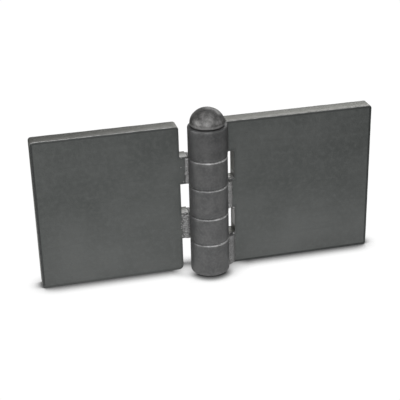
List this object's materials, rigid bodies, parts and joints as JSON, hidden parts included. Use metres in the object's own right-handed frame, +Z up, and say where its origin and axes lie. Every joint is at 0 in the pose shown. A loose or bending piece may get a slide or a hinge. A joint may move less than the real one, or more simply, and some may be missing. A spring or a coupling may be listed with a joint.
{
  "type": "weld-on plate hinge",
  "caption": "Heavy weld-on gate hinge, flat open: square steel plates either side of a knuckled barrel, with a loose dome-headed pin.",
  "frame": {"origin": "on the hinge axis at the foot of the barrel, level with the plates' bottom edges", "axes": "+Z up the hinge axis to the pin's head; +X along the right leaf, which carries three of the knuckles; +Y out of the plates' weld faces"},
  "size_m": [0.222, 0.0254, 0.1131],
  "materials": {
    "plate_steel": "hot-rolled mill scale, matt to satin, oiled dark grey",
    "barrel_steel": "drawn tube, satin dark grey",
    "pin_steel": "forged head, satin dark grey",
    "weld_metal": "weld bead as laid, rippled, grey"
  },
  "bodies": {
    "right_leaf": {"right_leaf_plate": "plate_steel", "right_knuckle_top": "barrel_steel", "right_weld_top_front": "weld_metal", "right_weld_top_back": "weld_metal", "right_knuckle_middle": "barrel_steel", "right_weld_middle_front": "weld_metal", "right_weld_middle_back": "weld_metal", "right_knuckle_bottom": "barrel_steel", "right_weld_bottom_front": "weld_metal", "right_weld_bottom_back": "weld_metal"},
    "left_leaf": {"left_leaf_plate": "plate_steel", "left_knuckle_upper": "barrel_steel", "left_weld_upper_front": "weld_metal", "left_weld_upper_back": "weld_metal", "left_knuckle_lower": "barrel_steel", "left_weld_lower_front": "weld_metal", "left_weld_lower_back": "weld_metal"},
    "pin": {"hinge_pin": "pin_steel"}
  },
  "joints": [
    {"name": "leaf_swing", "type": "hinge", "parent": "right_leaf", "child": "left_leaf", "pos_m": [0, 0, 0], "axis": [0, 0, 1], "range_deg": [-105, 180]},
    {"name": "pin_lift", "type": "slide", "parent": "right_leaf", "child": "pin", "axis": [0, 0, 1], "range_m": [0, 0.105]}
  ]
}
